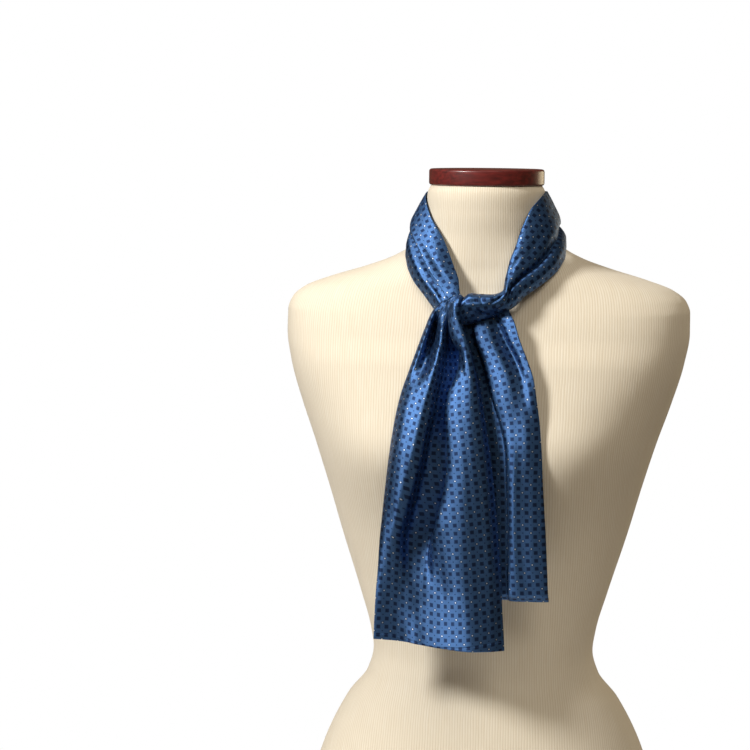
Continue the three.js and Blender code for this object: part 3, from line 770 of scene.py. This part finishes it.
loop = dict(
    rows=430, steps=[8, 8, 9, 8, 6, 9, 9, 8],
    flat=(0.085, 0.5),
    start=1000,                            # the flat map starts this far up the strip
    lean=0.25,                             # how much the cloth's swelling points upwards
    archPower=2.4,
    # stations on the way round: turns in degrees, heights and lifts off the form in millimetres
    words="at upperTurn upperZ upperLift lowerTurn lowerZ lowerLift bulge",
    path=[
        [0, -4, 595, 15, -15, 570, 7, 2],
        [1, -8.4, 603, 24, -21, 583, 11, 3],
        [2, -11, 617, 19, -27, 594, 10, 4],
        [3, -18, 633, 12, -36, 609, 9, 5],
        [4, -30, 653, 7, -48, 625, 7, 5],
        [5, -49, 672, 4, -63, 637, 6, 5],
        [6, -83, 696, 2, -84, 645, 4, 1.5],
        [7, -115, 700, 2, -115, 650, 2.5, 1.5],
        [8, -180, 702, 2, -180, 653, 3, 3],
        [9, -245, 700, 2, -245, 650, 2.5, 1.5],
        [10, -277, 700, 2, -277, 646, 5, 1.5],
        [11, -309.6, 688, 7, -300, 635, 6, 5],
        [12, -324.9, 668, 11, -316, 622, 7, 6],
        [13, -333.4, 650, 15, -327, 611, 11, 6],
        [14, -340.4, 634, 18, -336, 601, 15, 6],
        [15, -345, 618, 24, -341, 593, 19, 6],
        [16, -347, 607, 29, -345, 588, 21, 6],
        [17, -353, 603, 31, -354, 581, 24, 8],
        [18, -362, 604, 32, -362, 576, 24, 9],
        [19, -367, 596, 31, -367, 574, 23, 8],
        [20, -371, 590, 26, -371, 574, 19, 5],
    ],
    # each line: place along, share from the upper edge to the lower one, lift
    lines=dict(
        under=[(0, .15, -2.5), (6, .15, -2), (8, .15, -1.6), (12, .15, -5), (13, .17, -8), (15, .2, -15),
               (17, .18, -19), (20, .18, -15)],
        roll=[(0, 0, 0), (20, 0, 0)],
        inner=[(0, .12, 1), (3, .2, 1.2), (6, .2, 1), (9, .22, 1), (12, .28, .8), (14, .25, 1),
               (16, .2, 1.8), (18, .2, 2.2), (20, .2, 1)],
        lip=[(0, .3, 1.8), (1, .37, 3), (1.5, .42, 3), (2.3, .46, 3.4), (4.8, .46, 3.4), (6, .45, 2.6),
             (6.8, .44, 2), (8, .5, 1.8), (9.2, .58, 1.5), (11.2, .55, .8), (12.2, .54, .6),
             (13.3, .48, .8), (14.2, .42, 1), (15, .3, 1.2), (16.4, .36, 1.2), (18, .34, 1.4),
             (20, .35, 1)],
        tuck=[(0, .22, -.5), (1, .3, -1.5), (2.3, .37, -2.4), (4.8, .37, -2.4), (6.8, .37, -1),
              (8, .47, -.8), (9.2, .62, -1.5), (11.2, .67, -3), (12.2, .67, -3.6), (13.3, .61, -3.8),
              (14.2, .53, -3.6), (15, .42, -2.6), (16.4, .48, 1.2), (18, .48, 1.6), (20, .5, 0)],
        bed=[(0, .4, -1), (1, .44, -3), (2.3, .5, -4.5), (4.8, .5, -4.5), (6.8, .5, -1.5), (8, .58, -.4),
             (9.2, .68, 0), (11.2, .73, .6), (12.2, .73, .8), (13.3, .67, .9), (14.2, .6, 1),
             (15, .5, .8), (16.4, .6, .6), (18, .6, 1.2), (20, .6, 0)],
        outer=[(0, .68, 0), (3, .68, -1.2), (4.8, .68, -1.2), (6.5, .72, .3), (8, .8, 1),
               (11.2, .86, 2.6), (13.3, .84, 3.6), (14.5, .8, 3.6), (15.4, .8, 2), (16.4, .8, -1),
               (18, .82, -2.5), (20, .8, -1)],
        outerRoll=[(0, 1, -4), (3, 1, -5), (5, 1, -3.5), (6.5, 1, -1), (8, 1, 0), (13, 1.02, 0),
                   (15, 1.02, -1), (16.4, 1, -5), (18, 1, -8), (20, 1, -4)],
        outerUnder=[(0, .88, -7), (3, .9, -7), (5, .9, -5), (6.5, .88, -3), (8, .87, -2.2),
                    (12, .86, -4), (13.3, .86, -7), (15, .88, -12), (16.4, .9, -16), (18, .88, -18),
                    (20, .86, -13)],
    ),
    foldScale=(16, 40),                    # millimetres for one station along and for the whole width
    # each fold: place along and share at both ends, width in millimetres, depth
    folds=[
        (18.7, .3, 18.1, .66, 3.2, 2.6),
        (17.75, .42, 17.3, .8, 3, 2.4),
        (17.7, -.1, 17.25, .55, 1.4, 1.4),
        (18.3, .02, 17.8, .3, 2.4, -1),
        (15.7, .08, 17.2, .45, 1.7, 1.3),
        (15.2, .3, 16.8, .7, 2, 1.2),
        (14.4, .12, 16.4, .25, 1.8, -0.8),
        (12.5, .2, 15, .14, 1.8, 0.7),
        (11, .35, 13.5, .3, 2.4, 0.6),
        (2.2, .22, 5.2, .3, 1.6, 0.7),
        (1.2, .62, 3.8, .8, 1.8, 0.8),
        (3.2, .8, 5.8, .85, 2, -0.6),
        (6.8, .25, 9.6, .22, 2.5, 0.7),
        (7, .7, 9.4, .8, 2.2, 0.8),
    ],
)
loopPath = namedTable(loop["words"], loop["path"])


# Place on the loop: from the upper edge towards the lower one by the share, lifted outwards by the
# swelling (1 - |2 share - 1|^power) * bulge and the line's own lift.
def loopPoint(at, share, lift):
    row = {name: smoothCurve(loopPath["at"], loopPath[name], at) for name in list(loopPath)[1:]}
    upper = onForm(np.radians(row["upperTurn"]), row["upperZ"], row["upperLift"])
    lower = onForm(np.radians(row["lowerTurn"]), row["lowerZ"], row["lowerLift"])
    turn = np.radians(row["upperTurn"] * (1 - share) + row["lowerTurn"] * share)
    outward = np.stack([np.sin(turn), -np.cos(turn), 0 * turn + loop["lean"]], -1)
    outward /= np.linalg.norm(outward, axis=-1, keepdims=True)
    arch = (1 - np.abs(2 * np.clip(share, 0, 1) - 1) ** loop["archPower"]) * row["bulge"]
    return upper + (lower - upper) * share[..., None] + outward * (arch + lift)[..., None]


# Loft through the lines, at rows an even length apart along the middle of the strip, with its folds
# pressed in and its flat map along the middle.
def makeLoop():
    look = loop
    coarse = np.linspace(0, loopPath["at"][-1], 200)
    length = runningLength(loopPoint(coarse, 0 * coarse + 0.5, 0 * coarse)[None], 1)[0]
    along = np.interp(np.linspace(0, length[-1], look["rows"]), length, coarse)
    points = loft(look["lines"], along, look["steps"], loopPoint)
    start, end = (lineColumn(look["lines"], look["steps"], name) for name in ("roll", "outerRoll"))
    across = runningLength(points, 1)
    share = (across - across[:, start:start + 1]) / (across[:, end:end + 1] - across[:, start:start + 1])
    stepAlong, width = look["foldScale"]
    folds = [(a0 * stepAlong, b0 * width, a1 * stepAlong, b1 * width, wide, deep)
             for a0, b0, a1, b1, wide, deep in look["folds"]]
    points = pressFolds(points, along[:, None] * stepAlong + 0 * share, share * width, folds)
    flat = flatMap(points, (start + end) // 2)
    flat[..., 1] += look["start"]
    piece = clothPiece("loop_cloth", points, flat, satin["thickness"], satinCloth)
    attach(piece, "root")
    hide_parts("left_limb", "neck_back", "right_limb", "knot_band")


makeLoop()
print("loop and knot made")
makeFrontTail()
makeBackTail()
print("tails made")


# Camera, light and floor

studio = dict(
    azimuth=8, elevation=5.05, roll=0.5,   # degrees
    distance=3000,
    aim=(-111.6, 515),                     # to the camera's right of the form's axis, and height
    lens=144, sensor=36, nearest=0.1, farthest=50,
    # each light: place, aim and size in metres, power, colour, and whether cloth and wood mirror it
    lights=dict(
        key=((-1.42, -1.39, 1.94), (0, -0.11, 0.5), 0.6, 66, (1.0, 0.985, 0.94), True),
        front=((0.75, -1.35, 2.1), (0, 0, 0.6), 1.2, 17, (1.0, 0.93, 0.8), False),
        top=((0.2, -0.6, 2.3), (0, 0, 0.6), 1.2, 2.5, (1.0, 0.93, 0.8), True),
        side=((1.1, 1.6, 0.7), (0, 0, 0.45), 1.0, 7, (1.0, 0.84, 0.55), True),
    ),
    fill=0.1, fillColour=(1.0, 0.76, 0.5),
    backdrop=1.0,
    floorRadius=520, floorHeights=(-6.0, -0.3), floorTurns=96,
    floorColour=(0.9, 0.89, 0.87, 1), floorRoughness=0.8,
)


# Camera on a sphere round its aim: its axes come from the azimuth and elevation, then turn by the roll.
def makeCamera():
    azimuth, elevation, roll = (math.radians(studio[name]) for name in ("azimuth", "elevation", "roll"))
    side = Vector((math.cos(azimuth), math.sin(azimuth), 0))
    back = Vector((math.sin(azimuth) * math.cos(elevation), -math.cos(azimuth) * math.cos(elevation),
                   math.sin(elevation)))
    up = back.cross(side)
    right = side * math.cos(roll) + up * math.sin(roll)
    up = up * math.cos(roll) - side * math.sin(roll)
    shift, height = studio["aim"]
    place = (side * shift + Vector((0, 0, height)) + back * studio["distance"]) * metre
    data = bpy.data.cameras.new("camera")
    data.lens, data.sensor_width = studio["lens"], studio["sensor"]
    data.clip_start, data.clip_end = studio["nearest"], studio["farthest"]
    camera = bpy.data.objects.new("camera", data)
    camera.matrix_world = Matrix.Translation(place) @ Matrix((right, up, back)).transposed().to_4x4()
    bpy.context.scene.collection.objects.link(camera)
    bpy.context.scene.camera = camera


# Round area lights, each turned from its place towards its aim.
def makeLights():
    for name, (place, aim, size, power, colour, shine) in studio["lights"].items():
        data = bpy.data.lights.new(name, "AREA")
        data.energy, data.color = power, colour
        data.shape, data.size = "DISK", size
        light = bpy.data.objects.new(name, data)
        light.location = place
        light.rotation_euler = (Vector(place) - Vector(aim)).to_track_quat("Z", "Y").to_euler()
        light.visible_glossy = shine
        bpy.context.scene.collection.objects.link(light)


# A soft fill lights the form, and a white backdrop shows behind it.
def makeWorld():
    world = bpy.data.worlds.new("studio")
    bpy.context.scene.world = world
    world.use_nodes = True
    tree = world.node_tree
    tree.nodes.clear()
    fill = {"Color": (*studio["fillColour"], 1), "Strength": studio["fill"]}
    soft = addNode(tree, "ShaderNodeBackground", fill)
    white = addNode(tree, "ShaderNodeBackground", {"Color": (1, 1, 1, 1), "Strength": studio["backdrop"]})
    seen = addNode(tree, "ShaderNodeLightPath").outputs["Is Camera Ray"]
    both = addNode(tree, "ShaderNodeMixShader", {0: seen, 1: soft.outputs[0], 2: white.outputs[0]})
    addNode(tree, "ShaderNodeOutputWorld", {"Surface": both.outputs[0]})


# Round slab just under the form.
def makeFloor():
    material, tree = newMaterial("pale floor")
    finishMaterial(tree, {"Base Color": studio["floorColour"], "Roughness": studio["floorRoughness"]})
    turn = np.linspace(0, 2 * math.pi, studio["floorTurns"] + 1)
    x, y = studio["floorRadius"] * np.sin(turn), -studio["floorRadius"] * np.cos(turn)
    rings = np.stack([np.stack([x, y, 0 * turn + z], -1) for z in studio["floorHeights"]])
    ringPiece("floor", rings, rings[..., :2], material)


makeCamera()
makeLights()
makeWorld()
makeFloor()
bpy.context.scene.view_settings.view_transform = "Standard"
print("camera, light and floor made")
